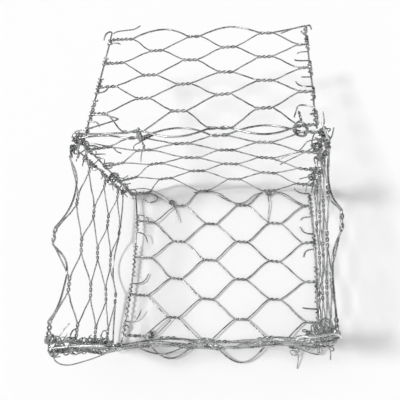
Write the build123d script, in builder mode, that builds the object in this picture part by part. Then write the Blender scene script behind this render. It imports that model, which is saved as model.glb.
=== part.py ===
"""Open gabion basket: six panels of double-twisted hexagonal wire mesh, tied at the
corners, with the lid hung on two ties along the top of the back and folded back.
Millimetres. X runs to the right, Y to the back, Z up, and the basket stands on Z = 0."""
import os
from math import ceil, cos, floor, hypot, radians, sin
from build123d import *

os.makedirs("parts", exist_ok=True)

# Wire gauges: woven mesh, the heavier edge and selvedge wire, and soft tie wire.
mesh_wire = 2.7
edge_wire = 3.4
tie_wire = 2.2

# The weave: one twist, one full mesh as a share of the panel's width, rows in a panel.
twist_length = 28.0
hinge_twist_length = 40.0
base_period_share = 0.3325
wall_period_share = 0.3422
left_period_share = 0.434
right_period_share = 0.4495
row_count = 8
base_row_step = 40.0
back_row_step = 40.6
wall_row_step = 35.5
lid_row_step = 40.0
bury = 1.5
stub_reach = 42.0
stub_min = 3.0

# The basket, measured from the base twist that carries the origin.
left_reach = 193.0
right_reach = 222.0
front_left_reach = 184.0
front_right_reach = 157.0
back_reach = 150.0
wall_top = 284.0
base_front_row = -160.0
hinge_column = 54.0

# Insets of the edge wires from the mesh planes they meet.
corner_inset = 6.0
side_inset = 10.0
base_left_inset = 27.0
base_right_inset = 4.0
base_left_skew = 3.0
wall_foot = 12.0
edge_overhang = 3.0

# The lid hangs back below level and turns about its first row of twists.
lid_droop = 20.0
hinge_rise = 10.0
hinge_setback = 7.0
lid_left_inset = 21.0
lid_left_flare = 23.0
lid_right_inset = 18.0
lid_right_taper = 4.0

# Selvedge loops: how far the outer wire bows between two twists, and how the back's lean.
base_bow = 40.0
lid_free_bow = 30.0
lid_hinge_bow = 17.0
back_bow = 27.0
back_lean = 100.0
wall_foot_bow = 20.0
wall_top_bow = 28.0
level_run_share = 0.0
low_run_share = 0.2
high_run_share = 0.8

# Wound ends and ties.
wrap_length = 10.0
wrap_slip = 0.1
seat = 0.3
tie_turns = 3
tie_slip = 0.2
tie_gap_min = 30.0
hinge_clearance = 0.5
hinge_tie_offset = 5.0

# Values that follow from these.
basket_width = left_reach + right_reach
left_depth = front_left_reach + back_reach
right_depth = front_right_reach + back_reach
base_period = basket_width * base_period_share
wall_period = basket_width * wall_period_share
left_period = left_depth * left_period_share
right_period = right_depth * right_period_share
left_column = (back_reach - front_left_reach) / 2
right_column = (back_reach - front_right_reach) / 2
lid_left_hinge = lid_left_inset - left_reach
lid_left_free = lid_left_hinge - lid_left_flare
lid_right_hinge = right_reach - lid_right_inset
lid_right_free = lid_right_hinge - lid_right_taper
edge_radius = edge_wire / 2
wrap_inner = edge_radius + wrap_slip
wrap_outer = wrap_inner + mesh_wire
tie_length = tie_turns * tie_wire
back_top = mesh_wire + (row_count - 1) * back_row_step
hinge_y = back_reach + hinge_setback
hinge_z = back_top + hinge_rise
lid_length = (row_count - 1) * lid_row_step
droop = radians(lid_droop)
front_slope = (front_left_reach - front_right_reach) / basket_width
front_middle = -front_left_reach + front_slope * left_reach
front_length = hypot(1, front_slope)

base_plane = Plane(origin=(0, 0, mesh_wire), x_dir=(1, 0, 0), z_dir=(0, 0, 1))
back_plane = Plane(origin=(0, back_reach, 0), x_dir=(1, 0, 0), z_dir=(0, -1, 0))
front_plane = Plane(origin=(0, front_middle, 0), x_dir=(1, front_slope, 0), z_dir=(front_slope, -1, 0))
left_plane = Plane(origin=(-left_reach, 0, 0), x_dir=(0, 1, 0), z_dir=(1, 0, 0))
right_plane = Plane(origin=(right_reach, 0, 0), x_dir=(0, 1, 0), z_dir=(1, 0, 0))
lid_plane = Plane(origin=(0, hinge_y, hinge_z), x_dir=(1, 0, 0), z_dir=(0, sin(droop), cos(droop)))


def slant(low, high, reach):
    """An edge line that runs from low at row height 0 to high at row height reach."""
    return lambda v: low + (high - low) * v / reach


def level(value):
    return lambda v: value


def weave(rows, period, column, left, right, lengths):
    """Twists as (start, end, row, held left, held right), bends as pairs of points, and the
    heights at which the left and the right edge hold a mesh end."""
    inset = wrap_outer + seat
    twists, bends, left_holds, right_holds = {}, [], [], []
    spans = []
    for number, v in enumerate(rows):
        shift = column + (number % 2) * period / 2
        first = floor((left(v) - shift) / period) - 1
        last = ceil((right(v) - shift) / period) + 1
        spans.append([(index, shift + index * period) for index in range(first, last + 1)])
        for index, middle in spans[-1]:
            start = middle - lengths[number] / 2
            end = middle + lengths[number] / 2
            held_left = start - left(v) < stub_reach
            held_right = right(v) - end < stub_reach
            if held_left:
                start = left(v) + inset
            if held_right:
                end = right(v) - inset
            if end - start > stub_min:
                twists[number, index] = (start, end, v, held_left, held_right)
                if held_left:
                    left_holds.append(v)
                if held_right:
                    right_holds.append(v)
    for number, v in enumerate(rows[:-1]):
        above = rows[number + 1]
        for index, middle in spans[number]:
            for side in (-1, 1):
                near = twists.get((number, index))
                far = twists.get((number + 1, index + (side + number % 2 * 2 - 1) // 2))
                low = (middle + side * (lengths[number] / 2 - bury), v)
                high = (middle + side * (period / 2 - lengths[number + 1] / 2 + bury), above)
                near_held = near and near[3 if side < 0 else 4]
                far_held = far and far[4 if side < 0 else 3]
                if near and far and not near_held and not far_held:
                    bends.append((low, high))
                elif near and not far and not near_held:
                    bends.append((low, edge_end(low, high, left, right, inset, left_holds, right_holds)))
                elif far and not near and not far_held:
                    bends.append((high, edge_end(high, low, left, right, inset, left_holds, right_holds)))
    return list(twists.values()), bends, left_holds, right_holds


def edge_end(inner, outer, left, right, inset, left_holds, right_holds):
    """Where a bend that runs off the panel meets the wound end on the edge wire."""
    to_left = outer[0] < inner[0]
    edge = left if to_left else right
    holds = left_holds if to_left else right_holds
    gap = inset + mesh_wire / 2
    limit = edge(inner[1]) + (gap if to_left else -gap)
    share = (limit - inner[0]) / (outer[0] - inner[0])
    height = inner[1] + share * (outer[1] - inner[1])
    holds.append(height)
    return limit, height


def selvedge(twists, row, left, right, bow, run_share):
    """Loops between the twists of an outer row, the runs out to an edge without a stub, and
    the heights at which the left and right edge hold such a run."""
    row_twists = sorted(twist for twist in twists if twist[2] == row)
    loops, runs, left_holds, right_holds = [], [], [], []
    rise = bow * run_share
    for before, after in zip(row_twists, row_twists[1:]):
        a = before[1] - bury
        b = after[0] + bury
        loops.append(((a, 0), ((a + b) / 2, bow), (b, 0)))
    if not row_twists[0][3]:
        start = row_twists[0][0] + bury
        end = left(row + rise)
        tilt = abs(rise) / hypot(start - end, rise)
        runs.append(((start, 0), (end + wrap_outer + seat + edge_radius * tilt, rise)))
        left_holds.append(row + rise)
    if not row_twists[-1][4]:
        start = row_twists[-1][1] - bury
        end = right(row + rise)
        tilt = abs(rise) / hypot(end - start, rise)
        runs.append(((start, 0), (end - wrap_outer - seat - edge_radius * tilt, rise)))
        right_holds.append(row + rise)
    return loops, runs, left_holds, right_holds


def row_plane(plane, row, lean):
    """The panel's plane moved to one of its rows and leaned about that row."""
    at_row = Plane(origin=plane.from_local_coords((0, row, 0)), x_dir=plane.x_dir, z_dir=plane.z_dir)
    return at_row.rotated((-lean, 0, 0))


plain_rows = [twist_length] * row_count
lid_lengths = [hinge_twist_length] + [twist_length] * (row_count - 1)

base_rows = [base_front_row + number * base_row_step for number in range(row_count)]
back_rows = [back_top - number * back_row_step for number in range(row_count)]
wall_rows = [wall_top - number * wall_row_step for number in range(row_count)]
lid_rows = [number * lid_row_step for number in range(row_count)]

base_left_back = base_left_inset - left_reach
base_left = slant(
    base_left_back + base_left_skew * back_reach / left_depth,
    base_left_back,
    back_reach,
)
base_right = level(right_reach - base_right_inset)
wall_left = level(corner_inset - left_reach)
wall_right = level(right_reach - corner_inset)
front_left = level((corner_inset - left_reach) * front_length)
front_right = level((right_reach - corner_inset) * front_length)
left_front = level(side_inset - front_left_reach)
right_front = level(side_inset - front_right_reach)
side_back = level(back_reach - side_inset)
lid_left = slant(lid_left_hinge, lid_left_free, lid_length)
lid_right = slant(lid_right_hinge, lid_right_free, lid_length)

base_weave = weave(base_rows, base_period, 0, base_left, base_right, plain_rows)
back_weave = weave(back_rows, wall_period, hinge_column, wall_left, wall_right, plain_rows)
front_weave = weave(wall_rows, wall_period, hinge_column, front_left, front_right, plain_rows)
left_weave = weave(wall_rows, left_period, left_column, left_front, side_back, plain_rows)
right_weave = weave(wall_rows, right_period, right_column, right_front, side_back, plain_rows)
lid_weave = weave(lid_rows, wall_period, hinge_column, lid_left, lid_right, lid_lengths)

# The base mesh runs on round the fold into the lowest twists of the back.
fold_line = back_reach - 3 * mesh_wire / 2 - seat
fold_twists = [twist for twist in back_weave[0] if twist[2] == back_rows[-1]]
for start, end, v, *held in [twist for twist in base_weave[0] if twist[2] == base_rows[-1]]:
    to_right = [fold[0] for fold in fold_twists if fold[0] > end]
    to_left = [fold[1] for fold in fold_twists if fold[1] < start]
    if to_right:
        base_weave[1].append(((end - bury, v), (min(to_right) + bury, fold_line)))
    if to_left:
        base_weave[1].append(((start + bury, v), (max(to_left) - bury, fold_line)))

# Panel name, plane, weave, edge lines, and its selvedges as (row, lean, bow, run share).
panels = [
    ("base", base_plane, base_weave, base_left, base_right,
     [(base_rows[0], 0, -base_bow, low_run_share)]),
    ("back", back_plane, back_weave, wall_left, wall_right,
     [(back_rows[0], back_lean, back_bow, level_run_share)]),
    ("front", front_plane, front_weave, front_left, front_right,
     [(wall_rows[0], 0, -wall_top_bow, level_run_share),
      (wall_rows[-1], 0, -wall_foot_bow, low_run_share)]),
    ("left", left_plane, left_weave, left_front, side_back,
     [(wall_rows[0], 0, -wall_top_bow, level_run_share),
      (wall_rows[-1], 0, -wall_foot_bow, low_run_share)]),
    ("right", right_plane, right_weave, right_front, side_back,
     [(wall_rows[0], 0, -wall_top_bow, level_run_share),
      (wall_rows[-1], 0, -wall_foot_bow, low_run_share)]),
    ("lid", lid_plane, lid_weave, lid_left, lid_right,
     [(lid_rows[0], 0, -lid_hinge_bow, level_run_share),
      (lid_rows[-1], 0, lid_free_bow, high_run_share)]),
]

# Mesh panels: twists two wires thick, single bends, and the heavier selvedge loops, in one piece.
for name, plane, (twists, bends, left_holds, right_holds), left, right, selvedges in panels:
    with BuildPart() as mesh:
        with BuildSketch(plane):
            with BuildLine():
                for start, end, v, *held in twists:
                    Line((start, v), (end, v))
            trace(line_width=2 * mesh_wire)
        extrude(amount=mesh_wire, both=True)
        with BuildSketch(plane):
            with BuildLine():
                for a, b in bends:
                    Line(a, b)
            trace(line_width=mesh_wire)
        extrude(amount=mesh_wire / 2, both=True)
        for row, lean, bow, run_share in selvedges:
            loops, runs, left_runs, right_runs = selvedge(twists, row, left, right, bow, run_share)
            left_holds.extend(left_runs)
            right_holds.extend(right_runs)
            with BuildSketch(row_plane(plane, row, lean)):
                with BuildLine():
                    for a, middle, b in loops:
                        ThreePointArc(a, middle, b)
                    for a, b in runs:
                        Line(a, b)
                trace(line_width=edge_wire)
            extrude(amount=edge_wire / 2, both=True)
    mesh.part.label = name + "_mesh"
    export_step(mesh.part, f"parts/{name}_mesh.step")


# Edge wires by panel and side: plane, edge line, span along it, held heights, lift off the mesh plane.
base_lift = wrap_outer - mesh_wire
run_end = wrap_length / 2 + edge_overhang
base_span = (base_rows[0] - base_bow * low_run_share - run_end, back_reach - wrap_outer - edge_overhang)
back_span = (seat, back_top + edge_overhang)
wall_span = (wall_foot, wall_top + edge_overhang)
lid_span = (-run_end, lid_length + lid_free_bow * high_run_share + run_end)
edges = {
    "base_left": (base_plane, base_left, base_span, base_weave[2], base_lift),
    "base_right": (base_plane, base_right, base_span, base_weave[3], base_lift),
    "back_left": (back_plane, wall_left, back_span, back_weave[2], 0),
    "back_right": (back_plane, wall_right, back_span, back_weave[3], 0),
    "front_left": (front_plane, front_left, wall_span, front_weave[2], 0),
    "front_right": (front_plane, front_right, wall_span, front_weave[3], 0),
    "left_front": (left_plane, left_front, wall_span, left_weave[2], 0),
    "left_back": (left_plane, side_back, wall_span, left_weave[3], 0),
    "right_front": (right_plane, right_front, wall_span, right_weave[2], 0),
    "right_back": (right_plane, side_back, wall_span, right_weave[3], 0),
    "lid_left": (lid_plane, lid_left, lid_span, lid_weave[2], 0),
    "lid_right": (lid_plane, lid_right, lid_span, lid_weave[3], 0),
}


def edge_point(plane, edge, v, lift):
    return plane.from_local_coords((edge(v), v, lift))


def held_rows(span, holds):
    """Heights of the wound ends, kept on the wire."""
    return [min(max(v, span[0] + wrap_length / 2), span[1] - wrap_length / 2) for v in holds]


# Edge wires: straight heavy wire along the two cut sides of each panel.
for name, (plane, edge, span, holds, lift) in edges.items():
    foot = edge_point(plane, edge, span[0], lift)
    head = edge_point(plane, edge, span[1], lift)
    with BuildPart() as wire:
        with BuildSketch(Plane(origin=foot, z_dir=head - foot)):
            Circle(edge_radius)
        extrude(amount=(head - foot).length)
    wire.part.label = name + "_edge_wire"
    export_step(wire.part, f"parts/{name}_edge_wire.step")

# Wraps: the cut mesh ends wound round the edge wire at each row that reaches it.
for name, (plane, edge, span, holds, lift) in edges.items():
    along = edge_point(plane, edge, span[1], lift) - edge_point(plane, edge, span[0], lift)
    with BuildPart() as wraps:
        for v in held_rows(span, holds):
            with BuildSketch(Plane(origin=edge_point(plane, edge, v, lift), z_dir=along)):
                Circle(wrap_outer)
                Circle(wrap_inner, mode=Mode.SUBTRACT)
        extrude(amount=wrap_length / 2, both=True)
    wraps.part.label = name + "_wraps"
    export_step(wraps.part, f"parts/{name}_wraps.step")

# Corner ties: soft wire wound round the two edge wires of a corner, between the wraps.
corners = {
    "back_left": "left_back",
    "back_right": "right_back",
    "front_left": "left_front",
    "front_right": "right_front",
}
for name, side_name in corners.items():
    plane, edge, span, holds, lift = edges[name]
    next_plane, next_edge, next_span, next_holds, next_lift = edges[side_name]
    first = edge_point(plane, edge, 0, 0)
    second = edge_point(next_plane, next_edge, 0, 0)
    reach = second - first
    rows = sorted(held_rows(span, holds) + held_rows(next_span, next_holds))
    heights = [(low + high) / 2 for low, high in zip(rows, rows[1:]) if high - low > tie_gap_min]
    with BuildPart() as ties:
        for height in heights:
            middle = (first + second) / 2 + Vector(0, 0, height)
            with BuildSketch(Plane(origin=middle, x_dir=reach, z_dir=(0, 0, 1))):
                SlotCenterToCenter(reach.length, edge_wire + 2 * (tie_slip + tie_wire))
                SlotCenterToCenter(reach.length, edge_wire + 2 * tie_slip, mode=Mode.SUBTRACT)
        extrude(amount=tie_length / 2, both=True)
    ties.part.label = name + "_ties"
    export_step(ties.part, f"parts/{name}_ties.step")

# Hinge ties: loops that hold the lid's first twists to the top twists of the back and let them turn.
hinge_rows = sorted(twist for twist in lid_weave[0] if twist[2] == lid_rows[0])
hinge_spots = [
    ("left", (hinge_rows[0][0] + hinge_rows[0][1]) / 2 + hinge_tie_offset),
    ("right", (hinge_rows[-1][0] + hinge_rows[-1][1]) / 2),
]
pivot_radius = hypot(mesh_wire, mesh_wire) + hinge_clearance
hinge_reach = hypot(hinge_setback, hinge_rise)
for side, x in hinge_spots:
    middle = Vector(x, back_reach + hinge_setback / 2, back_top + hinge_rise / 2)
    with BuildPart() as loop:
        with BuildSketch(Plane(origin=middle, x_dir=(0, hinge_setback, hinge_rise), z_dir=(1, 0, 0))):
            SlotCenterToCenter(hinge_reach, 2 * (pivot_radius + tie_wire))
            SlotCenterToCenter(hinge_reach, 2 * pivot_radius, mode=Mode.SUBTRACT)
        extrude(amount=tie_length / 2, both=True)
    loop.part.label = f"hinge_tie_{side}"
    export_step(loop.part, f"parts/hinge_tie_{side}.step")
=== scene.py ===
"""Open gabion basket of hand-woven galvanised wire: six mesh panels, the heavier wires along
their edges, the lashings at the corners and the ties that hang the lid on the back."""
import random
from collections import namedtuple
from math import ceil, cos, exp, floor, pi, radians, sin

import bpy
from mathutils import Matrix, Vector


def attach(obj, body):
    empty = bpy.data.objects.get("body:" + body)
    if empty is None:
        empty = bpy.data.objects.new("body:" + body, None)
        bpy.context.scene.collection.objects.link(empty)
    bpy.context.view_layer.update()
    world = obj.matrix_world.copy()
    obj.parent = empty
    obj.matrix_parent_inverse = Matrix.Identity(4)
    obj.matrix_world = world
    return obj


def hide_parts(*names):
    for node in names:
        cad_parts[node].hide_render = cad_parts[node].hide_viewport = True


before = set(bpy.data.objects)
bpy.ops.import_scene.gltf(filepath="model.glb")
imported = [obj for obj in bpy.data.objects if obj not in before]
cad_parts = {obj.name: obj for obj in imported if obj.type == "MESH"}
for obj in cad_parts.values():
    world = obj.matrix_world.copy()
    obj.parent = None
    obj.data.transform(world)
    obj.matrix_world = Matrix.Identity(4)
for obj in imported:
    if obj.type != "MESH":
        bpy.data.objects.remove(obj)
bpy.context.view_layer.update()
scene = bpy.context.scene
scene.view_settings.view_transform = "Standard"

# Camera: held high over the basket, a little to the right of its middle, looking almost
# straight down through the open top with the folded lid at the far side.
camera_lens = bpy.data.cameras.new("camera")
camera_lens.lens = 39.6
camera_lens.sensor_width = 36.0
camera = bpy.data.objects.new("camera", camera_lens)
camera.location = (0.14521, -0.16750, 0.91988)
camera.rotation_euler = (radians(18.393), radians(9.651), radians(2.808))
scene.collection.objects.link(camera)
scene.camera = camera

# Base and back mesh: one length of hexagonal mesh, every two neighbouring 2.7 mm wires twisted
# round each other three half turns, folded up at the foot of the back. The cut ends are wound
# round the edge wires, and a heavier selvedge wire is twisted into the first and last row.
mesh_wire = 0.0027
selvedge_wire = 0.0034
edge_radius = 0.0017


def galvanised(name, dark, bright, rough_low, rough_high):
    """Dull zinc: a grey that drifts along the wire, faint spangle, and a fine pitted skin."""
    finish = bpy.data.materials.new(name)
    finish.use_nodes = True
    nodes = finish.node_tree.nodes
    links = finish.node_tree.links
    shader = nodes["Principled BSDF"]
    shader.inputs["Metallic"].default_value = 0.9
    place = nodes.new("ShaderNodeTexCoord")
    drift = nodes.new("ShaderNodeTexNoise")
    drift.inputs["Scale"].default_value = 55
    drift.inputs["Detail"].default_value = 5
    spangle = nodes.new("ShaderNodeTexVoronoi")
    spangle.inputs["Scale"].default_value = 420
    pits = nodes.new("ShaderNodeTexNoise")
    pits.inputs["Scale"].default_value = 1400
    pits.inputs["Detail"].default_value = 3
    for texture in (drift, spangle, pits):
        links.new(place.outputs["Object"], texture.inputs["Vector"])
    mixed = nodes.new("ShaderNodeMix")
    mixed.inputs["Factor"].default_value = 0.35
    links.new(drift.outputs["Fac"], mixed.inputs["A"])
    links.new(spangle.outputs["Distance"], mixed.inputs["B"])
    shade = nodes.new("ShaderNodeValToRGB")
    shade.color_ramp.elements[0].position = 0.3
    shade.color_ramp.elements[0].color = (*dark, 1)
    shade.color_ramp.elements[1].position = 0.62
    shade.color_ramp.elements[1].color = (*bright, 1)
    links.new(mixed.outputs["Result"], shade.inputs["Fac"])
    links.new(shade.outputs["Color"], shader.inputs["Base Color"])
    rough = nodes.new("ShaderNodeMapRange")
    rough.inputs["To Min"].default_value = rough_low
    rough.inputs["To Max"].default_value = rough_high
    links.new(drift.outputs["Fac"], rough.inputs["Value"])
    links.new(rough.outputs["Result"], shader.inputs["Roughness"])
    bump = nodes.new("ShaderNodeBump")
    bump.inputs["Strength"].default_value = 0.35
    bump.inputs["Distance"].default_value = 0.0002
    links.new(pits.outputs["Fac"], bump.inputs["Height"])
    links.new(bump.outputs["Normal"], shader.inputs["Normal"])
    return finish


def round_wires(name, wires, finish):
    """One piece of round wire: each run is (thickness, points) and follows its points smoothly."""
    curve = bpy.data.curves.new(name, "CURVE")
    curve.dimensions = "3D"
    curve.bevel_depth = 0.001
    curve.bevel_resolution = 2
    curve.resolution_u = 3
    curve.use_fill_caps = True
    for thickness, points in wires:
        spline = curve.splines.new("NURBS")
        spline.points.add(len(points) - 1)
        for knot, point in zip(spline.points, points):
            knot.co = (point[0], point[1], max(point[2], thickness / 2), 1)
            knot.radius = thickness / 2 / curve.bevel_depth
        spline.order_u = 3
        spline.use_endpoint_u = True
    drawn = bpy.data.objects.new(name, curve)
    mesh = bpy.data.meshes.new_from_object(drawn)
    bpy.data.objects.remove(drawn)
    bpy.data.curves.remove(curve)
    mesh.name = name
    mesh.materials.clear()
    mesh.materials.append(finish)
    piece = bpy.data.objects.new(name, mesh)
    scene.collection.objects.link(piece)
    return piece


Twist = namedtuple("Twist", "start end held_left held_right upward tilt")
twist_start = (0.46, 0.54)
twist_stretch = (0.94, 1.06)
twist_tilt = 0.0012
row_stray = 0.0018
shortest_twist = 0.003
edge_gap = 0.0048
stub_reach = 0.042


def lay_rows(heights, columns, period, lengths, left, right, place, owner, ends):
    """Rows of twists, each with where it starts and ends and which edge wires hold it."""
    rows = []
    for v, column, length in zip(heights, columns, lengths):
        twists = []
        first = floor((left(v) - column) / period) - 1
        last = ceil((right(v) - column) / period) + 1
        for index in range(first, last + 1):
            start = column + index * period - length * rng.uniform(*twist_start)
            end = start + length * rng.uniform(*twist_stretch)
            held_left = start - left(v) < stub_reach
            held_right = right(v) - end < stub_reach
            if held_left:
                start = left(v) + edge_gap
            if held_right:
                end = right(v) - edge_gap
            if end - start > shortest_twist:
                upward = rng.uniform(-row_stray, row_stray)
                tilt = rng.uniform(-twist_tilt, twist_tilt)
                twists.append(Twist(start, end, held_left, held_right, upward, tilt))
        rows.append({"v": v, "twists": twists, "left": left, "right": right,
                     "place": place, "owner": owner, "ends": ends})
    return rows


half_lay = 0.0093
crossing_halves = 3
returning_halves = 2
half_turn_steps = 4
turn_steps = 8
smoothing = 1.08
slack = 1.3


def strand(row, twist, side_in, side_out):
    """One of the two wires of a twist, from the side it comes in on to the side it leaves on."""
    start, end, held_left, held_right, upward, tilt = twist
    if held_left or held_right:
        halves = max(1, round((end - start) / half_lay))
        if held_left:
            side_in = side_out * (-1) ** halves
    else:
        halves = crossing_halves if side_in != side_out else returning_halves
    radius = mesh_wire / 2 * smoothing * slack
    phase = 0 if side_in > 0 else pi
    points = []
    for step in range(half_turn_steps * halves + 1):
        share = step / (half_turn_steps * halves)
        middle = row["v"] + upward + tilt * (2 * share - 1)
        angle = phase + step * pi / half_turn_steps
        points.append(row["place"](start + (end - start) * share, middle + radius * cos(angle),
                                   radius * sin(angle)))
    return points


edge_probe = 0.001
wound_rise = 0.0014
flat_steps = 2
tail_curl = 0.7
tail_drop = (-0.12, 0.3)
tail_bends = ((0.25, 0.0), (0.6, 0.15), (0.85, 0.5), (1.0, 1.0))
tail_shortening = 0.15


def wound_end(row, v, inward, going, turns, tail):
    """A cut end: round the edge wire a few loose turns along it, then a hooked tail."""
    place = row["place"]
    edge = row["left"] if inward > 0 else row["right"]
    here = place(edge(v), v, 0)
    beyond = v + edge_probe
    along = (place(edge(beyond), beyond, 0) - here).normalized() * going
    across = (place(edge(v) + edge_probe * inward, v, 0) - here).normalized()
    up = across.cross(along).normalized()
    radius = (edge_radius + mesh_wire / 2) * smoothing
    pitch = rng.uniform(*row["ends"]["pitch"])
    points = []
    for step in range(1, round(turns * turn_steps) + 1):
        angle = step * pi / half_turn_steps
        rise = wound_rise + pitch * max(0, step - flat_steps) / turn_steps
        points.append(here + along * rise + across * radius * cos(angle) + up * radius * sin(angle))
    off = points[-1]
    curl = rng.uniform(-tail_curl, tail_curl)
    drop = rng.uniform(*tail_drop)
    for share, bend in tail_bends:
        sweep = along * curl * tail * bend + up * drop * tail * bend
        points.append(off + across * tail * share * (1 - tail_shortening * bend) + sweep)
    return points


bend_shares = (0.04, 0.12, 0.3, 0.5, 0.7, 0.88, 0.96)
most_swing = 0.3
wire_stray = 0.0006


def bend_between(row, twist, a, b):
    """The single wire between two twists: it leaves each almost in line and swings over between."""
    place, v = row["place"], row["v"]
    along = (place(twist.end, v, 0) - place(twist.start, v, 0)).normalized()
    lengthwise = along * (b - a).dot(along)
    across = b - a - lengthwise
    swing = rng.uniform(0, most_swing)
    points = []
    for share in bend_shares:
        stray = Vector((rng.uniform(-1, 1), rng.uniform(-1, 1), 0)) * wire_stray
        crossed = share - swing * sin(2 * pi * share) / (2 * pi)
        points.append(a + lengthwise * share + across * crossed + stray)
    return points


wound_out_tail = 0.005
loose_ends = {"tails": (0.022, 0.040), "turns": (1.75, 2.75), "pitch": (0.008, 0.012),
              "wound_out": 0.2}
close_ends = {"tails": (0.010, 0.026), "turns": (0.75, 1.75), "pitch": (0.008, 0.013),
              "wound_out": 0.3}


def cut_end(row):
    """How a mesh wire ends: a few turns and a hooked tail, or wound out to its tip."""
    turns = rng.choice(row["ends"]["turns"])
    tail = rng.uniform(*row["ends"]["tails"])
    if rng.random() < row["ends"]["wound_out"]:
        return turns + 1, wound_out_tail
    return turns, tail


def trace_wire(rows, number, twist, going, wires):
    """Follows one mesh wire from its wound end at the left edge to the one at the right."""
    row = rows[number]
    turns, tail = cut_end(row)
    start = wound_end(row, row["v"], 1, going, turns, tail)
    points = start[::-1] + strand(row, twist, None, going)
    while True:
        if not 0 <= number + going < len(rows):
            going = -going
        after = rows[number + going]
        later = [other for other in after["twists"] if other.start > twist.end]
        if not later:
            break
        ahead = min(later)
        arrive = -going
        leave = going if 0 <= number + 2 * going < len(rows) else -going
        entry = strand(after, ahead, arrive, leave)
        between = bend_between(row, twist, points[-1], entry[0])
        if after["owner"] != row["owner"]:
            wires[row["owner"]].append((mesh_wire, points + between + entry[:1]))
            points = entry
        else:
            points = points + between + entry
        number, row, twist = number + going, after, ahead
        if twist.held_right:
            turns, tail = cut_end(row)
            points = points + wound_end(row, row["v"], -1, leave, turns, tail)
            break
        going = leave
    wires[row["owner"]].append((mesh_wire, points))


def weave(rows):
    """All the mesh wires of a panel, sorted by the piece each belongs to."""
    wires = {row["owner"]: [] for row in rows}
    for number, row in enumerate(rows):
        for twist in row["twists"]:
            for going in (1, -1):
                if twist.held_left and 0 <= number + going < len(rows):
                    trace_wire(rows, number, twist, going, wires)
    return wires


selvedge_turns = 1.75
selvedge_tail = 0.009
led_across = 0.5
led_rise = 0.6


def selvedge_end(row, twist, inward, going, rise, sway):
    """How a selvedge ends: wound on beside the last twist, or led from it to the edge wire first."""
    v = row["v"]
    if inward > 0:
        near, held = twist.start, twist.held_left
    else:
        near, held = twist.end, twist.held_right
    if held:
        return wound_end(row, v, inward, going, selvedge_turns, selvedge_tail)
    edge = row["left" if inward > 0 else "right"](v + rise)
    led = row["place"](edge + (near - edge) * led_across, v + rise * led_rise, sway)
    return [led] + wound_end(row, v + rise, inward, going, selvedge_turns, selvedge_tail)


loop_shares = (0.12, 0.3, 0.5, 0.7, 0.88)
loop_swell = (1.0, 1.1)


def selvedge(row, side, bow, lean, rise, deepest=0.5, sway=0.0):
    """The heavier outer wire of an end row: twisted in with the mesh, bowed out between."""
    place, v = row["place"], row["v"]
    out_v, out_n = side * cos(lean) * bow, sin(lean) * bow
    twists = sorted(row["twists"])
    points = selvedge_end(row, twists[0], 1, -side, rise, sway)[::-1]
    for twist, after in zip(twists, twists[1:] + [None]):
        points += strand(row, twist, side, side)
        if after:
            for share in loop_shares:
                near = min(share / deepest, (1 - share) / (1 - deepest))
                swell = (1 - (1 - near) ** 2) * rng.uniform(*loop_swell)
                u = twist.end + (after.start - twist.end) * share
                points.append(place(u, v + out_v * swell, out_n * swell))
    points += selvedge_end(row, twists[-1], -1, -side, rise, sway)
    return selvedge_wire, points


def bulge(distance, reach):
    """A smooth bulge, 1 at its middle and almost nothing beyond its reach."""
    return exp(-(distance / reach) ** 2)


def bounded(share):
    """A share kept between nothing and the whole."""
    return min(1, max(0, share))


def flare(value, width, start, run, power):
    """A width that is nothing up to the start and grows to its full size over the run."""
    return width * max(0, (value - start) / run) ** power


def upright(u):
    """The side edge of a panel that stands straight up."""
    return lambda v: u


basket_left = -0.193
basket_right = 0.222
left_post = -0.187
right_post = 0.216
back_reach = 0.150
base_left_middle = -0.160
base_left_at_back = {"width": 0.014, "start": 0.06, "run": 0.09, "power": 2}
base_left_at_front = {"width": 0.007, "start": 0, "run": 0.13, "power": 1.5}
base_right_front = 0.2200
base_right_at_back = {"width": 0.009, "start": -0.02, "run": 0.16, "power": 1.5}
base_height = 0.0027
base_edge_rise = 0.0018
base_edge_strip = 0.02
base_ripple = 0.0022
ripple_across = 23
ripple_along = 19
fold_run = 0.03
left_lift = 0.0105
left_lift_more = 0.006
left_lift_middle = 0.07
left_lift_reach = 0.06
left_lift_run = 0.08
left_lift_power = 1.5
front_lift = 0.008
front_lift_start = -0.06
front_lift_run = 0.10


def base_left(v):
    """The base's left edge, drawn in between its two tied corners."""
    return base_left_middle - flare(v, **base_left_at_back) - flare(-v, **base_left_at_front)


def base_right(v):
    """The base's right edge, drawn in toward the back."""
    return base_right_front - flare(v, **base_right_at_back)


def base_place(u, v, n):
    """A point of the base, which lies in a slight ripple and springs up at the left and the front."""
    from_left = u - base_left(v)
    inside = min(from_left, base_right(v) - u)
    rise = bounded(1 - inside / base_edge_strip)
    ripple = base_ripple * (1 + sin(ripple_across * u + 1) * cos(ripple_along * v)) * (1 - rise)
    ripple *= bounded((back_reach - v) / fold_run)
    most_left = left_lift + left_lift_more * bulge(v - left_lift_middle, left_lift_reach)
    at_left = most_left * bounded(1 - from_left / left_lift_run) ** left_lift_power
    at_front = front_lift * bounded((front_lift_start - v) / front_lift_run)
    lift = max(at_left, at_front)
    return Vector((u, v, base_height + base_edge_rise * rise + ripple + lift + n))


back_height = 0.287
back_bulge = 0.020
back_bulge_power = 0.6
belly_middle = -0.090
belly_reach = 0.050
belly_foot = 0.04
belly_top = 0.06
belly_aside = 0.010
belly_deep = 0.007


def back_place(u, v, n):
    """A point of the back, which bulges outward between its edges, and has a belly at the left."""
    across = (u - (basket_left + basket_right) / 2) / (basket_right - basket_left) * 2
    upward = sin(pi * bounded(v / back_height) ** back_bulge_power)
    sprung = back_bulge * max(0, 1 - across * across) * upward
    belly = bulge(u - belly_middle, belly_reach) * bounded(v / belly_foot)
    belly *= bounded((back_height - v) / belly_top)
    return Vector((u - belly_aside * belly, back_reach + sprung + belly_deep * belly - n, v))


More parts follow.
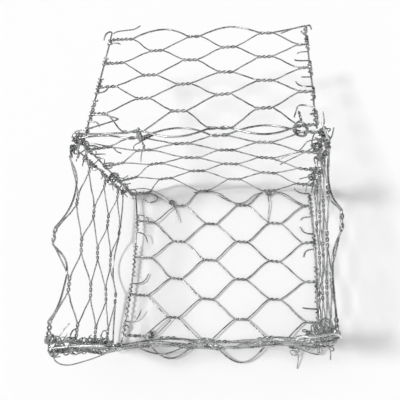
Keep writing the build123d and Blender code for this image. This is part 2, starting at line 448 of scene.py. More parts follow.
row_count = 8
twist_length = 0.028
base_period = 0.138
base_front_row = -0.160
base_row_step = 0.040
wall_period = 0.142
hinge_column = 0.054
back_foot_row = 0.0027
back_row_step = 0.0406
base_heights = [base_front_row + base_row_step * number for number in range(row_count)]
base_columns = [number % 2 * base_period / 2 for number in range(row_count)]
back_heights = [back_foot_row + back_row_step * number for number in range(row_count)]
back_columns = [hinge_column + (number + 1) % 2 * wall_period / 2 for number in range(row_count)]
plain_lengths = [twist_length] * row_count
rng = random.Random(11)
base_rows = lay_rows(base_heights, base_columns, base_period, plain_lengths,
                     base_left, base_right, base_place, "base", loose_ends)
back_rows = lay_rows(back_heights, back_columns, wall_period, plain_lengths,
                     upright(left_post), upright(right_post), back_place, "back", close_ends)
folded_mesh = weave(base_rows + back_rows)
folded_mesh["base"].append(selvedge(base_rows[0], side=-1, bow=0.040, lean=0, rise=-0.008))
folded_mesh["back"].append(selvedge(back_rows[-1], side=1, bow=0.027, lean=-radians(128),
                                    rise=0.002, sway=-0.007))

mesh_zinc = galvanised("mesh_zinc", (0.06, 0.063, 0.067), (0.66, 0.665, 0.67), 0.2, 0.36)
base_mesh = round_wires("base_mesh_wires", folded_mesh["base"], mesh_zinc)
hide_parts("base_mesh", "base_left_wraps", "base_right_wraps")
back_mesh = round_wires("back_mesh_wires", folded_mesh["back"], mesh_zinc)
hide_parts("back_mesh", "back_left_wraps", "back_right_wraps")
for piece in (base_mesh, back_mesh):
    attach(piece, "basket")

# Front, left and right walls: three loose panels of the same mesh stood up round the base,
# almost as high as the back, with a heavy selvedge along the top and the foot of each.
wall_row_step = 0.0355
wall_heights = [wall_row_step * number for number in range(1, row_count + 1)]
bend_reach = 0.06
side_back_post = 0.140
front_slope = 0.06506
front_middle = -0.17144
front_waves = ((0.006, 9, 34), (0.0035, 31, -17))
front_fixed_run = 0.05
front_lean = 0.006
front_lean_reach = 0.07
front_lean_height = 0.2
left_column = -0.017
left_period = 0.145
left_front_post = -0.177
left_belly = 0.008
left_belly_middle = -0.10
left_belly_top = 0.27
left_back_lean = 0.006
left_droop = 0.032
droop_start = -0.02
droop_run = 0.155
droop_power = 0.5
right_column = -0.0035
right_period = 0.138
right_front_post = -0.147
right_flare_ahead = 0.01
right_drag = 0.9
top_flare_width = 0.015
top_flare_start = 0.2485
foot_lean = radians(35)


def top_flare(u, v, middle):
    """How far the middle of a side wall's top row is sprung outward."""
    sprung = top_flare_width * bounded((v - top_flare_start) / wall_row_step)
    return sprung * bulge(u - middle, bend_reach)


def front_place(u, v, n):
    """A point of the front, which stands at a slant, is wavy, and leans out at the left."""
    wave = sum(high * sin(u * across + v * upward) for high, across, upward in front_waves)
    fixed = min(1, (u - left_post) / front_fixed_run, (right_post - u) / front_fixed_run)
    lean = front_lean * bulge(u - left_post, front_lean_reach) * min(1, v / front_lean_height)
    return Vector((u, front_middle + front_slope * u - n + wave * max(0, fixed) - lean, v))


def left_place(u, v, n):
    """A point of the left wall, pushed in toward the front and leaning out at the back."""
    lean = left_belly * sin(pi * min(1, v / left_belly_top)) * bulge(u - left_belly_middle, bend_reach)
    lean -= left_back_lean * bulge(u - side_back_post, bend_reach) * min(1, v / wall_heights[-1]) ** 2
    return Vector((basket_left + n + lean - top_flare(u, v, left_column), u, v))


def left_mesh_place(u, v, n):
    """A point of the left wall's mesh, which is drawn down toward the front post."""
    toward_front = bounded((droop_start - u) / droop_run)
    down = left_droop * sin(pi * bounded(v / wall_heights[-1])) ** droop_power
    point = left_place(u, v, n)
    point.z -= down * toward_front
    return point


def right_place(u, v, n):
    """A point of the right wall, whose sprung top row is also dragged toward the back."""
    sprung = top_flare(u, v, right_column + right_flare_ahead)
    return Vector((basket_right + n + sprung, u + right_drag * sprung, v))


walls = {
    "front": (front_place, left_post, right_post, hinge_column, wall_period, 1, 21),
    "left": (left_mesh_place, left_front_post, side_back_post, left_column, left_period, -1, 22),
    "right": (right_place, right_front_post, side_back_post, right_column, right_period, 1, 23),
}
for name, (place, first_post, last_post, column, period, outward, seed) in walls.items():
    rng = random.Random(seed)
    columns = [column + (number + 1) % 2 * period / 2 for number in range(row_count)]
    rows = lay_rows(wall_heights, columns, period, plain_lengths,
                    upright(first_post), upright(last_post), place, name, close_ends)
    wires = weave(rows)[name]
    wires.append(selvedge(rows[0], side=-1, bow=0.024, lean=outward * foot_lean, rise=-0.004))
    wires.append(selvedge(rows[-1], side=1, bow=-0.028, lean=0, rise=0, deepest=0.8))
    wall = round_wires(name + "_mesh_wires", wires, mesh_zinc)
    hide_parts(name + "_mesh")
    for side in {"front": ("left", "right")}.get(name, ("front", "back")):
        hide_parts(f"{name}_{side}_wraps")
    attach(wall, "basket")

# Lid: a sixth panel of mesh that lies folded back behind the basket, hung on ties along its
# first row of twists, which is the hinge. Its free end bows out in loops between the twists.
hinge_y = 0.157
hinge_z = 0.2969
hinge_twist = 0.040
lid_droop = radians(20)
lid_length = 0.280
lid_sag = 0.014
sag_start = -0.19
sag_run = 0.39
sag_power = 1.3


def edge_line(near, far):
    """A side edge of the lid, as a distance across it for each distance from the hinge."""
    return lambda v: near + (far - near) * v / lid_length


def lid_place(u, v, n):
    """A point of the lid, whose far right corner sags below the rest."""
    sag = lid_sag * max(0, v / lid_length) ** sag_power * max(0, (u - sag_start) / sag_run)
    return Vector((u, hinge_y + v * cos(lid_droop) + (n - sag) * sin(lid_droop),
                   hinge_z - v * sin(lid_droop) + (n - sag) * cos(lid_droop)))


lid_left = edge_line(-0.170, -0.194)
lid_right = edge_line(0.204, 0.200)
lid_heights = [0, 0.047, 0.085, 0.121, 0.1535, 0.197, 0.234, lid_length]
lid_columns = [hinge_column + number % 2 * wall_period / 2 for number in range(row_count)]
lid_lengths = [hinge_twist] + plain_lengths[1:]
tidy_ends = {"tails": (0.014, 0.034), "turns": (0.75, 1.75), "pitch": (0.010, 0.015),
             "wound_out": 0.4}
rng = random.Random(31)
lid_rows = lay_rows(lid_heights, lid_columns, wall_period, lid_lengths,
                    lid_left, lid_right, lid_place, "lid", tidy_ends)
lid_wires = weave(lid_rows)["lid"]
lid_wires.append(selvedge(lid_rows[0], side=-1, bow=0.017, lean=0, rise=-0.007))
lid_wires.append(selvedge(lid_rows[-1], side=1, bow=0.030, lean=0, rise=0.019))
lid_mesh = round_wires("lid_mesh_wires", lid_wires, mesh_zinc)
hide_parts("lid_mesh", "lid_left_wraps", "lid_right_wraps")
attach(lid_mesh, "lid")

# Edge wires: 3.4 mm wire run by hand along the two cut sides of each panel, never quite straight.
# The mesh ends are wound on to it. Its free ends are bent over, into short tips at the tops of
# the three loose walls and into hooks at the far corners of the lid.
edge_steps = 12
edge_stray = 0.0007
edge_lift = 0.0005
base_wire_ends = (-0.176, 0.1425)
back_wire_ends = (0.002, 0.290)
wall_wire_ends = (0.012, 0.287)
bent_tip = ((0.0025, 0.2895), (0.0075, 0.2885))
lid_left_hook = ((-0.1960, 0.3045), (-0.2020, 0.3105), (-0.2085, 0.306), (-0.2105, 0.292),
                 (-0.2085, 0.280))
lid_right_hook = ((0.2035, 0.303), (0.2075, 0.3065), (0.2110, 0.303), (0.2115, 0.290))
wall_posts = {
    "front_left": (front_place, left_post, 1),
    "front_right": (front_place, right_post, -1),
    "left_front": (left_place, left_front_post, 1),
    "left_back": (left_place, side_back_post, -1),
    "right_front": (right_place, right_front_post, 1),
    "right_back": (right_place, side_back_post, -1),
}
edge_wires = {
    "base_left": (base_place, base_left, base_wire_ends, "basket", ()),
    "base_right": (base_place, base_right, base_wire_ends, "basket", ()),
    "back_left": (back_place, upright(left_post), back_wire_ends, "basket", ()),
    "back_right": (back_place, upright(right_post), back_wire_ends, "basket", ()),
}
for name, (place, u, inward) in wall_posts.items():
    tip = [(u + reach * inward, v) for reach, v in bent_tip]
    edge_wires[name] = (place, upright(u), wall_wire_ends, "basket", tip)
edge_wires["lid_left"] = (lid_place, lid_left, (-0.008, 0.297), "lid", lid_left_hook)
edge_wires["lid_right"] = (lid_place, lid_right, (-0.008, 0.296), "lid", lid_right_hook)

edge_zinc = galvanised("edge_zinc", (0.05, 0.053, 0.057), (0.55, 0.555, 0.56), 0.2, 0.36)
rng = random.Random(41)
for name, (place, edge, (low, high), body, hook) in edge_wires.items():
    points = []
    for step in range(edge_steps + 1):
        v = low + (high - low) * step / edge_steps
        u = edge(v) + rng.uniform(-edge_stray, edge_stray)
        points.append(place(u, v, rng.uniform(0, edge_lift)))
    points += [place(u, v, 0) for u, v in hook]
    wire = round_wires(name + "_edge", [(selvedge_wire, points)], edge_zinc)
    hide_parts(name + "_edge_wire")
    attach(wire, body)

# Corner lashings: soft 2.2 mm wire wound by hand round the two edge wires that meet at a corner,
# a few turns at a time with both ends left sticking out. The two front corners each have
# a long lacing as well, at the right round the side wall's edge wire and the mesh behind it.
tie_wire = 0.0022
lashing_slack = 1.2
lashing_untidy = 0.25
lashing_pitch = (0.0028, 0.0042)
lashing_tail = (0.008, 0.016)
lacing_middle = 0.15
lacing_tail = 0.012
loose_curl = 0.45
loose_shares = (0.3, 0.65, 1.0)
post_stations = ((0.2, 1), (-1, 0.55), (-1, -0.55), (0.2, -1))


def loop_round(first, second, reach, side, spread, turns, climb, low, untidy):
    """Turns of wire round two posts, climbing as they go, four points at each post."""
    points = []
    for turn in range(turns):
        for step in range(turn_steps):
            post, facing = (first, 1) if step < half_turn_steps else (second, -1)
            along, across = post_stations[step % half_turn_steps]
            loose = spread * rng.uniform(1, 1 + untidy)
            lift = climb * (low + turn + step / turn_steps + rng.uniform(-untidy, untidy) / 2)
            spot = post + reach * along * facing * loose
            points.append(spot + side * across * facing * loose + lift)
    return points


def loose_tail(spot, out, length):
    """A springy cut end that leaves in one direction and curls off it."""
    curl = Vector((rng.uniform(-1, 1), rng.uniform(-1, 1), rng.uniform(-1, 1))) * loose_curl
    return [spot + (out * share + curl * share * share) * length for share in loose_shares]


def lashing(first, second, turns, pitch, tail):
    """Turns of tie wire round two upright edge wires, a tail at each end turned into the basket."""
    reach = (second - first).normalized()
    side = Vector((0, 0, 1)).cross(reach)
    spread = (edge_radius + mesh_wire + tie_wire / 2) * lashing_slack
    climb = Vector((0, 0, pitch))
    points = loop_round(first, second, reach, side, spread, turns, climb, -turns / 2, lashing_untidy)
    inward = side if side.dot(first) < 0 else -side
    head = loose_tail(points[0], (inward + reach * rng.uniform(-1, 1)).normalized(), tail)
    foot = loose_tail(points[-1], (inward + reach * rng.uniform(-1, 1)).normalized(), tail)
    return tie_wire, head[::-1] + points + foot


corner_ties = {
    "back_left": ((back_place, left_post), (left_place, side_back_post),
                  ((0.0505, 2), (0.113, 3), (0.189, 1), (0.2297, 1), (0.2642, 2))),
    "back_right": ((back_place, right_post), (right_place, side_back_post),
                   ((0.0978, 2), (0.1739, 2), (0.2475, 2))),
    "front_left": ((front_place, left_post), (left_place, left_front_post),
                   ((0.0533, 2), (0.0888, 1), (0.1243, 2), (0.1598, 1), (0.1953, 2), (0.2308, 1),
                    (0.2653, 2))),
    "front_right": ((front_place, right_post), (right_place, right_front_post),
                    ((0.0505, 2), (0.1065, 2), (0.1775, 2), (0.2475, 2))),
}
lacing = {"front_left": (None, 5, 0.052), "front_right": ((-0.010, 0.014, 0), 8, 0.030)}
tie_zinc = galvanised("tie_zinc", (0.04, 0.043, 0.047), (0.57, 0.575, 0.58), 0.18, 0.34)
rng = random.Random(51)
for name, ((first_place, first_u), (second_place, second_u), spots) in corner_ties.items():
    wires = []
    for v, turns in spots:
        pitch = rng.uniform(*lashing_pitch)
        tail = rng.uniform(*lashing_tail)
        first = first_place(first_u, v, 0)
        second = second_place(second_u, v, 0)
        wires.append(lashing(first, second, turns, pitch, tail))
    if name in lacing:
        mesh_behind, turns, pitch = lacing[name]
        first = first_place(first_u, lacing_middle, 0)
        second = second_place(second_u, lacing_middle, 0)
        if mesh_behind:
            first = second + Vector(mesh_behind)
        wires.append(lashing(first, second, turns, pitch, lacing_tail))
    ties = round_wires(name + "_lashings", wires, tie_zinc)
    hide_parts(name + "_ties")
    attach(ties, "basket")

# Hinge ties: loose rings of the same soft wire round a lid twist and the back twist under it,
# slack enough for the lid to turn, with their ends twisted off into a short pigtail.
hinge_axis = Vector((0, hinge_y, hinge_z))
back_top_twist = Vector((0, back_reach, 0.2869))
hinge_reach = (hinge_axis - back_top_twist).normalized()
hinge_flank = Vector((1, 0, 0)).cross(hinge_reach)
ring_slack = 0.0062
ring_reach = (hinge_axis - back_top_twist).length / 2 + ring_slack
ring_loose = (0.95, 1.2)
ring_stray = 8
pigtail_aside = Vector((0.2, 0.9, 0.3))
pigtail_spread = 0.56


def hinge_ring(x, width, turns, tilt_low, tilt_high):
    """Loose turns through the two twists, each turn slewed a little more along them."""
    middle = (hinge_axis + back_top_twist) / 2 + Vector((x, 0, 0))
    points = []
    for step in range(round(turns * turn_steps) + 1):
        angle = step * pi / half_turn_steps
        slewed = tilt_low + (tilt_high - tilt_low) * step / (turns * turn_steps)
        tilt = radians(slewed + rng.uniform(-ring_stray, ring_stray))
        aside = hinge_flank * cos(tilt) + Vector((sin(tilt), 0, 0))
        loose = rng.uniform(*ring_loose)
        offset = hinge_reach * cos(angle) * ring_reach + aside * sin(angle) * width
        points.append(middle + offset * loose)
    return points


def pigtail(start, out, length, turns):
    """Two ends twisted together, running off from the start, in half turns."""
    out = out.normalized()
    flank = out.cross(pigtail_aside).normalized()
    over = out.cross(flank)
    pair = ([], [])
    steps = turns * half_turn_steps
    for step in range(steps + 1):
        for run, half in zip(pair, (0, pi)):
            angle = half + step * pi / half_turn_steps
            around = (flank * cos(angle) + over * sin(angle)) * tie_wire * pigtail_spread
            run.append(start + out * length * step / steps + around)
    return pair


hinge_ties = {
    "left": (-0.079, 0.0060, 3.5, -25, 30, (0.0286, 0.0095, 0.009), 0.030, 6),
    "right": (0.1810, 0.0115, 4, 35, 75, (-0.25, 0.8, 0.5), 0.015, 3),
}
rng = random.Random(61)
for side, (x, width, turns, tilt_low, tilt_high, out, length, pigtail_turns) in hinge_ties.items():
    points = hinge_ring(x, width, turns, tilt_low, tilt_high)
    first, second = pigtail(points[-1], Vector(out), length, pigtail_turns)
    wires = [(tie_wire, points + first), (tie_wire, points[:1] + second)]
    tie = round_wires(f"hinge_tie_{side}_ring", wires, tie_zinc)
    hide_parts(f"hinge_tie_{side}")
    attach(tie, "basket")

# Knots and loose ends: balls of spare tie wire twisted off where the panels meet, and lengths
# of tie wire that were never trimmed and lie or curl where they were left.
knot_turn = 0.21
knot_start = 6
knot_tilt = 0.5
knot_sway = 1.7
knot_swell = (0.7, 1.15)


def tie_run(*points):
    """A length of tie wire led through its points."""
    return tie_wire, [Vector(point) for point in points]


def knot(middle, size, turns, head, foot):
    """Spare wire wound into an untidy ball, one end led off along its head and one along its foot."""
    points = []
    start = rng.uniform(0, knot_start)
    for step in range(turns * turn_steps):
        turn = start + step * knot_turn
        tilt = knot_tilt * sin(turn * knot_sway)
        angle = step * pi / half_turn_steps
        flat = Vector((cos(turn), sin(turn), 0))
        steep = Vector((-sin(turn) * sin(tilt), cos(turn) * sin(tilt), cos(tilt)))
        swollen = rng.uniform(*knot_swell)
        offset = (flat * cos(angle) + steep * sin(angle)) * swollen
        ball = Vector((offset.x * size[0], offset.y * size[1], offset.z * size[2]))
        points.append(Vector(middle) + ball)
    led_in = [Vector(point) for point in head[::-1]]
    led_off = [Vector(point) for point in foot]
    return tie_wire, led_in + points + led_off


rng = random.Random(71)
knots = {
    "back_left_top": [
        knot((-0.193, 0.154, 0.284), (0.013, 0.013, 0.008), 4,
             head=[(-0.183, 0.150, 0.288), (-0.186, 0.141, 0.284), (-0.189, 0.130, 0.280),
                   (-0.192, 0.114, 0.276)],
             foot=[(-0.194, 0.138, 0.283), (-0.200, 0.130, 0.272)]),
        knot((-0.187, 0.153, 0.281), (0.010, 0.011, 0.008), 3,
             head=[(-0.179, 0.142, 0.285), (-0.179, 0.134, 0.272), (-0.181, 0.125, 0.265),
                   (-0.187, 0.119, 0.262), (-0.187, 0.112, 0.260)],
             foot=[(-0.164, 0.145, 0.283), (-0.140, 0.140, 0.278), (-0.129, 0.141, 0.276),
                   (-0.125, 0.133, 0.270), (-0.116, 0.131, 0.268)]),
        tie_run((-0.192, 0.146, 0.282), (-0.204, 0.157, 0.284), (-0.199, 0.165, 0.286),
                (-0.190, 0.168, 0.286), (-0.181, 0.168, 0.286), (-0.175, 0.164, 0.285),
                (-0.176, 0.157, 0.283), (-0.183, 0.152, 0.281)),
    ],
    "back_left_middle": [
        knot((-0.184, 0.147, 0.121), (0.011, 0.009, 0.011), 4,
             head=[(-0.175, 0.143, 0.125), (-0.162, 0.141, 0.121), (-0.153, 0.146, 0.127)],
             foot=[(-0.190, 0.134, 0.115), (-0.189, 0.122, 0.107)]),
    ],
    "hinge_left": [
        tie_run((-0.079, 0.148, 0.281), (-0.0806, 0.148, 0.2741), (-0.0863, 0.148, 0.2710),
                (-0.0939, 0.147, 0.2666), (-0.0996, 0.146, 0.2583), (-0.0999, 0.144, 0.2507),
                (-0.0949, 0.143, 0.2470), (-0.0874, 0.143, 0.2503), (-0.0822, 0.144, 0.2560),
                (-0.0775, 0.145, 0.2630)),
        tie_run((-0.078, 0.149, 0.283), (-0.0814, 0.148, 0.2741), (-0.0763, 0.148, 0.2703),
                (-0.0818, 0.146, 0.2696), (-0.0751, 0.146, 0.2657), (-0.0827, 0.145, 0.2612),
                (-0.0781, 0.144, 0.2576), (-0.0837, 0.143, 0.2547), (-0.0874, 0.138, 0.2473),
                (-0.0894, 0.132, 0.2419), (-0.0907, 0.128, 0.2375)),
    ],
    "back_left_foot": [
        knot((-0.185, 0.146, 0.046), (0.009, 0.008, 0.012), 3,
             head=[(-0.176, 0.140, 0.040), (-0.170, 0.128, 0.030)],
             foot=[(-0.180, 0.146, 0.030), (-0.172, 0.147, 0.016), (-0.158, 0.146, 0.010)]),
    ],
    "back_right_top": [
        knot((0.217, 0.147, 0.287), (0.010, 0.011, 0.012), 2,
             head=[(0.216, 0.159, 0.292), (0.216, 0.168, 0.296), (0.214, 0.179, 0.298)],
             foot=[(0.226, 0.140, 0.280), (0.229, 0.147, 0.286), (0.230, 0.154, 0.292)]),
        tie_run((0.215, 0.150, 0.286), (0.204, 0.154, 0.284), (0.199, 0.145, 0.276),
                (0.198, 0.138, 0.270), (0.201, 0.134, 0.262), (0.209, 0.138, 0.262),
                (0.212, 0.146, 0.270), (0.203, 0.146, 0.275)),
        tie_run((0.214, 0.149, 0.262), (0.194, 0.149, 0.262), (0.187, 0.142, 0.256),
                (0.181, 0.136, 0.250), (0.166, 0.132, 0.245), (0.150, 0.127, 0.240),
                (0.141, 0.124, 0.238)),
    ],
    "back_right_middle": [
        knot((0.208, 0.146, 0.238), (0.011, 0.008, 0.009), 3,
             head=[(0.198, 0.138, 0.250), (0.184, 0.132, 0.246), (0.172, 0.127, 0.243),
                   (0.159, 0.122, 0.240), (0.149, 0.117, 0.238)],
             foot=[(0.214, 0.138, 0.222), (0.216, 0.130, 0.208)]),
        knot((0.210, 0.146, 0.105), (0.008, 0.007, 0.014), 4,
             head=[(0.204, 0.144, 0.082), (0.203, 0.144, 0.048), (0.203, 0.145, 0.020)],
             foot=[(0.200, 0.143, 0.112), (0.186, 0.141, 0.106)]),
    ],
    "fold_left": [
        knot((-0.088, 0.127, 0.0065), (0.007, 0.007, 0.005), 4,
             head=[(-0.080, 0.114, 0.006), (-0.073, 0.098, 0.006), (-0.0675, 0.082, 0.004)],
             foot=[(-0.095, 0.133, 0.012), (-0.122, 0.146, 0.028), (-0.143, 0.151, 0.037),
                   (-0.166, 0.150, 0.036), (-0.182, 0.148, 0.030)]),
        tie_run((-0.178, 0.147, 0.020), (-0.166, 0.148, 0.010), (-0.152, 0.146, 0.008),
                (-0.139, 0.148, 0.008), (-0.124, 0.144, 0.007), (-0.122, 0.134, 0.005),
                (-0.138, 0.127, 0.005), (-0.153, 0.131, 0.005), (-0.157, 0.141, 0.006),
                (-0.146, 0.149, 0.012), (-0.134, 0.152, 0.014)),
    ],
    "fold_right": [
        knot((0.124, 0.146, 0.008), (0.006, 0.007, 0.006), 4,
             head=[(0.127, 0.128, 0.010), (0.126, 0.100, 0.006), (0.122, 0.077, 0.003)],
             foot=[(0.142, 0.150, 0.008), (0.162, 0.146, 0.006), (0.183, 0.128, 0.005),
                   (0.196, 0.122, 0.006)]),
    ],
    "fold_middle": [
        tie_run((0.112, 0.148, 0.006), (0.094, 0.146, 0.006), (0.082, 0.130, 0.006),
                (0.060, 0.122, 0.006), (0.036, 0.134, 0.006), (0.012, 0.153, 0.006),
                (-0.016, 0.152, 0.007), (-0.040, 0.150, 0.006)),
    ],
    "front_left_coil": [
        knot((-0.112, -0.157, 0.007), (0.007, 0.010, 0.005), 4,
             head=[(-0.100, -0.156, 0.009), (-0.086, -0.142, 0.009), (-0.073, -0.127, 0.008)],
             foot=[(-0.120, -0.166, 0.006), (-0.124, -0.176, 0.006)]),
    ],
    "front_left_loop": [
        tie_run((-0.159, -0.150, 0.287), (-0.167, -0.158, 0.287), (-0.172, -0.169, 0.287),
                (-0.179, -0.182, 0.284), (-0.184, -0.191, 0.278), (-0.187, -0.201, 0.268),
                (-0.184, -0.209, 0.255), (-0.178, -0.212, 0.235), (-0.174, -0.209, 0.205),
                (-0.171, -0.203, 0.150), (-0.169, -0.195, 0.100), (-0.168, -0.191, 0.060),
                (-0.172, -0.187, 0.030), (-0.184, -0.184, 0.018)),
        tie_run((-0.161, -0.164, 0.286), (-0.165, -0.175, 0.286), (-0.175, -0.179, 0.280),
                (-0.181, -0.185, 0.272), (-0.183, -0.193, 0.262), (-0.183, -0.194, 0.250),
                (-0.183, -0.192, 0.232), (-0.181, -0.191, 0.205), (-0.184, -0.187, 0.180)),
        tie_run((-0.189, -0.178, 0.286), (-0.190, -0.192, 0.280), (-0.186, -0.198, 0.276),
                (-0.183, -0.200, 0.270), (-0.179, -0.198, 0.262)),
        tie_run((-0.192, -0.180, 0.094), (-0.189, -0.172, 0.090), (-0.186, -0.166, 0.090),
                (-0.185, -0.158, 0.092), (-0.179, -0.154, 0.095), (-0.175, -0.158, 0.092),
                (-0.175, -0.165, 0.088), (-0.183, -0.172, 0.082), (-0.190, -0.178, 0.078)),
        tie_run((-0.191, -0.179, 0.280), (-0.187, -0.178, 0.250), (-0.184, -0.173, 0.235),
                (-0.184, -0.176, 0.215), (-0.181, -0.181, 0.190), (-0.178, -0.180, 0.165),
                (-0.175, -0.187, 0.135), (-0.171, -0.186, 0.100), (-0.172, -0.183, 0.070),
                (-0.180, -0.178, 0.045)),
        tie_run((-0.190, -0.181, 0.250), (-0.187, -0.188, 0.232), (-0.183, -0.198, 0.210),
                (-0.181, -0.194, 0.185), (-0.179, -0.189, 0.160), (-0.176, -0.193, 0.140),
                (-0.173, -0.189, 0.115), (-0.170, -0.178, 0.095), (-0.172, -0.176, 0.080),
                (-0.182, -0.180, 0.060)),
    ],
    "front_right": [
        tie_run((0.155, -0.160, 0.036), (0.162, -0.166, 0.030), (0.173, -0.172, 0.030),
                (0.177, -0.168, 0.025), (0.181, -0.169, 0.020), (0.184, -0.173, 0.020),
                (0.180, -0.179, 0.020), (0.174, -0.184, 0.015), (0.168, -0.180, 0.015),
                (0.166, -0.175, 0.020), (0.173, -0.173, 0.020), (0.180, -0.177, 0.020),
                (0.182, -0.184, 0.015), (0.181, -0.195, 0.008), (0.179, -0.206, 0.004)),
        tie_run((0.186, -0.158, 0.042), (0.184, -0.171, 0.030), (0.190, -0.172, 0.025),
                (0.197, -0.175, 0.020), (0.209, -0.178, 0.015), (0.217, -0.179, 0.014),
                (0.223, -0.178, 0.014), (0.225, -0.171, 0.020), (0.223, -0.161, 0.030),
                (0.219, -0.160, 0.035), (0.216, -0.167, 0.030), (0.217, -0.177, 0.020)),
        tie_run((0.190, -0.159, 0.036), (0.196, -0.174, 0.020), (0.203, -0.169, 0.020),
                (0.202, -0.164, 0.030), (0.200, -0.161, 0.035), (0.204, -0.168, 0.030),
                (0.210, -0.162, 0.035), (0.215, -0.157, 0.040)),
        knot((0.168, -0.167, 0.026), (0.007, 0.005, 0.006), 3,
             head=[(0.176, -0.161, 0.034), (0.186, -0.159, 0.036)],
             foot=[(0.160, -0.162, 0.032), (0.152, -0.161, 0.036)]),
        knot((0.198, -0.140, 0.024), (0.012, 0.006, 0.010), 3,
             head=[(0.186, -0.146, 0.012), (0.178, -0.148, 0.008)],
             foot=[(0.210, -0.144, 0.034), (0.220, -0.147, 0.050)]),
        knot((0.219, -0.141, 0.215), (0.006, 0.007, 0.018), 4,
             head=[(0.212, -0.146, 0.180), (0.206, -0.150, 0.160)],
             foot=[(0.222, -0.146, 0.245), (0.223, -0.148, 0.262)]),
        tie_run((0.217, -0.156, 0.190), (0.220, -0.163, 0.175), (0.223, -0.168, 0.165),
                (0.228, -0.171, 0.160), (0.231, -0.169, 0.158), (0.231, -0.166, 0.158),
                (0.228, -0.165, 0.160)),
        tie_run((0.216, -0.158, 0.165), (0.222, -0.163, 0.162), (0.227, -0.172, 0.156),
                (0.226, -0.184, 0.150)),
    ],
}
for name, wires in knots.items():
    ends = round_wires(name + "_knot", wires, tie_zinc)
    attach(ends, "basket")

# Loose top wires: two short lengths of mesh wire laid by hand over the tops of the two right-hand
# corners, coloured near white as a painted highlight.
top_wires = {
    "front_right": ((0.168, -0.158, 0.283), (0.177, -0.152, 0.287), (0.182, -0.154, 0.289),
                    (0.190, -0.154, 0.290), (0.199, -0.152, 0.290), (0.212, -0.149, 0.290),
                    (0.220, -0.148, 0.289), (0.225, -0.150, 0.286), (0.228, -0.153, 0.284)),
    "back_right": ((0.212, 0.160, 0.301), (0.213, 0.152, 0.299), (0.217, 0.143, 0.295),
                   (0.223, 0.133, 0.288)),
}
# Near-white zinc for these two wires: a painted highlight, much lighter than the wire's own grey.
painted_highlight_zinc = galvanised("painted_highlight_zinc", (0.7, 0.705, 0.71), (0.96, 0.965, 0.97), 0.3, 0.45)
for name, run in top_wires.items():
    over = round_wires(name + "_top_wire", [(mesh_wire, [Vector(point) for point in run])], painted_highlight_zinc)
    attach(over, "basket")

# Untrimmed lid ends: spare lengths of mesh wire at the four corners of the lid, bent aside by
# hand and never cut off.
lid_end_lift = 0.003
lid_ends = {
    "lid_left_corner": ((-0.190, 0.296), (-0.188, 0.303), (-0.166, 0.307), (-0.145, 0.309),
                        (-0.138, 0.323)),
    "lid_left_fold": ((-0.171, 0.043), (-0.150, 0.042), (-0.120, 0.029), (-0.1185, 0.027),
                      (-0.138, 0.019), (-0.166, 0.007)),
    "lid_right_corner": ((0.199, 0.298), (0.185, 0.294), (0.166, 0.281), (0.153, 0.272)),
    "lid_right_fold": ((0.204, 0.036), (0.193, 0.044), (0.178, 0.046), (0.175, 0.034),
                       (0.171, 0.016)),
}
for name, run in lid_ends.items():
    points = [lid_place(u, v, lid_end_lift) for u, v in run]
    ends = round_wires(name + "_end", [(mesh_wire, points)], mesh_zinc)
    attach(ends, "lid")

# Floor: a plain matt white table top that the basket stands on, far wider than the view.
# It is one flat sheet and no part of the basket.
floor_reach = 8
floor_corners = [(-floor_reach, -floor_reach, 0), (floor_reach, -floor_reach, 0),
                 (floor_reach, floor_reach, 0), (-floor_reach, floor_reach, 0)]
floor_mesh = bpy.data.meshes.new("floor")
floor_mesh.from_pydata(floor_corners, [], [(0, 1, 2, 3)])
floor_top = bpy.data.objects.new("floor", floor_mesh)
scene.collection.objects.link(floor_top)
table_white = bpy.data.materials.new("table_white")
table_white.use_nodes = True
table_shader = table_white.node_tree.nodes["Principled BSDF"]
table_shader.inputs["Base Color"].default_value = (0.93, 0.93, 0.93, 1)
table_shader.inputs["Roughness"].default_value = 0.85
floor_mesh.materials.append(table_white)

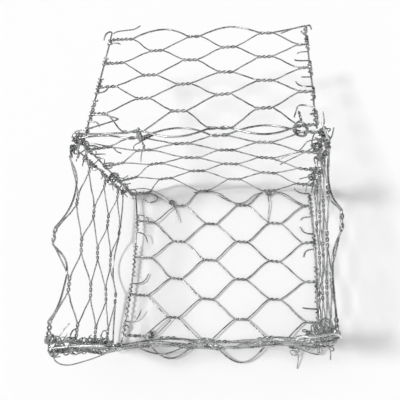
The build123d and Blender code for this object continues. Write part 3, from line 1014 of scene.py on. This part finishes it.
# Room and window: soft light from a window at the left, in a room whose light is even. The room
# that the wire mirrors is dark overhead and bright lower down, which gives the zinc its dark and
# light sides. Seen directly, the room is pale.
overhead = Vector((-0.3, 0.25, 0.92)).normalized()
room = bpy.data.worlds.new("room")
room.use_nodes = True
scene.world = room
room_nodes = room.node_tree.nodes
room_links = room.node_tree.links
room_light = room_nodes["Background"]
room_light.inputs["Strength"].default_value = 0.68
around = room_nodes.new("ShaderNodeTexCoord")
heading = room_nodes.new("ShaderNodeSeparateXYZ")
room_links.new(around.outputs["Generated"], heading.inputs["Vector"])
toward = room_nodes.new("ShaderNodeVectorMath")
toward.operation = "DOT_PRODUCT"
toward.inputs[1].default_value = overhead
room_links.new(around.outputs["Generated"], toward.inputs[0])


def room_shade(value, low, low_grey, high, high_grey):
    """A grey that goes from one level to another as the value does."""
    ramp = room_nodes.new("ShaderNodeValToRGB")
    for stop, position, grey in zip(ramp.color_ramp.elements, (low, high), (low_grey, high_grey)):
        stop.position = position
        stop.color = (grey, grey, grey, 1)
    room_links.new(value, ramp.inputs["Fac"])
    return ramp.outputs["Color"]


def room_mix(kind, factor, first, second):
    """Two room colours mixed or multiplied."""
    mixed = room_nodes.new("ShaderNodeMixRGB")
    mixed.blend_type = kind
    mixed.inputs["Fac"].default_value = 1
    if factor:
        room_links.new(factor, mixed.inputs["Fac"])
    room_links.new(first, mixed.inputs["Color1"])
    room_links.new(second, mixed.inputs["Color2"])
    return mixed.outputs["Color"]


height = heading.outputs["Z"]
even_room = room_shade(height, low=0.0, low_grey=0.3, high=0.75, high_grey=1.0)
bright_walls = room_shade(height, low=0.0, low_grey=0.46, high=0.25, high_grey=1.32)
dark_overhead = room_shade(toward.outputs["Value"], low=0.35, low_grey=1.0, high=0.62, high_grey=0.03)
mirrored = room_mix("MULTIPLY", None, bright_walls, dark_overhead)
rays = room_nodes.new("ShaderNodeLightPath")
seen_room = room_mix("MIX", rays.outputs["Is Glossy Ray"], even_room, mirrored)
pale = room_shade(height, low=0.0, low_grey=1.28, high=1.0, high_grey=1.34)
pictured = room_mix("MIX", rays.outputs["Is Camera Ray"], seen_room, pale)
room_links.new(pictured, room_light.inputs["Color"])

window = bpy.data.lights.new("window", "SUN")
window.energy = 1.7
window.angle = radians(10)
window_light = bpy.data.objects.new("window", window)
window_light.location = (-2.0, 0.05, 3.9)
window_aim = Vector((0, 0, 0.1)) - window_light.location
window_light.rotation_euler = window_aim.to_track_quat("-Z", "Y").to_euler()
scene.collection.objects.link(window_light)
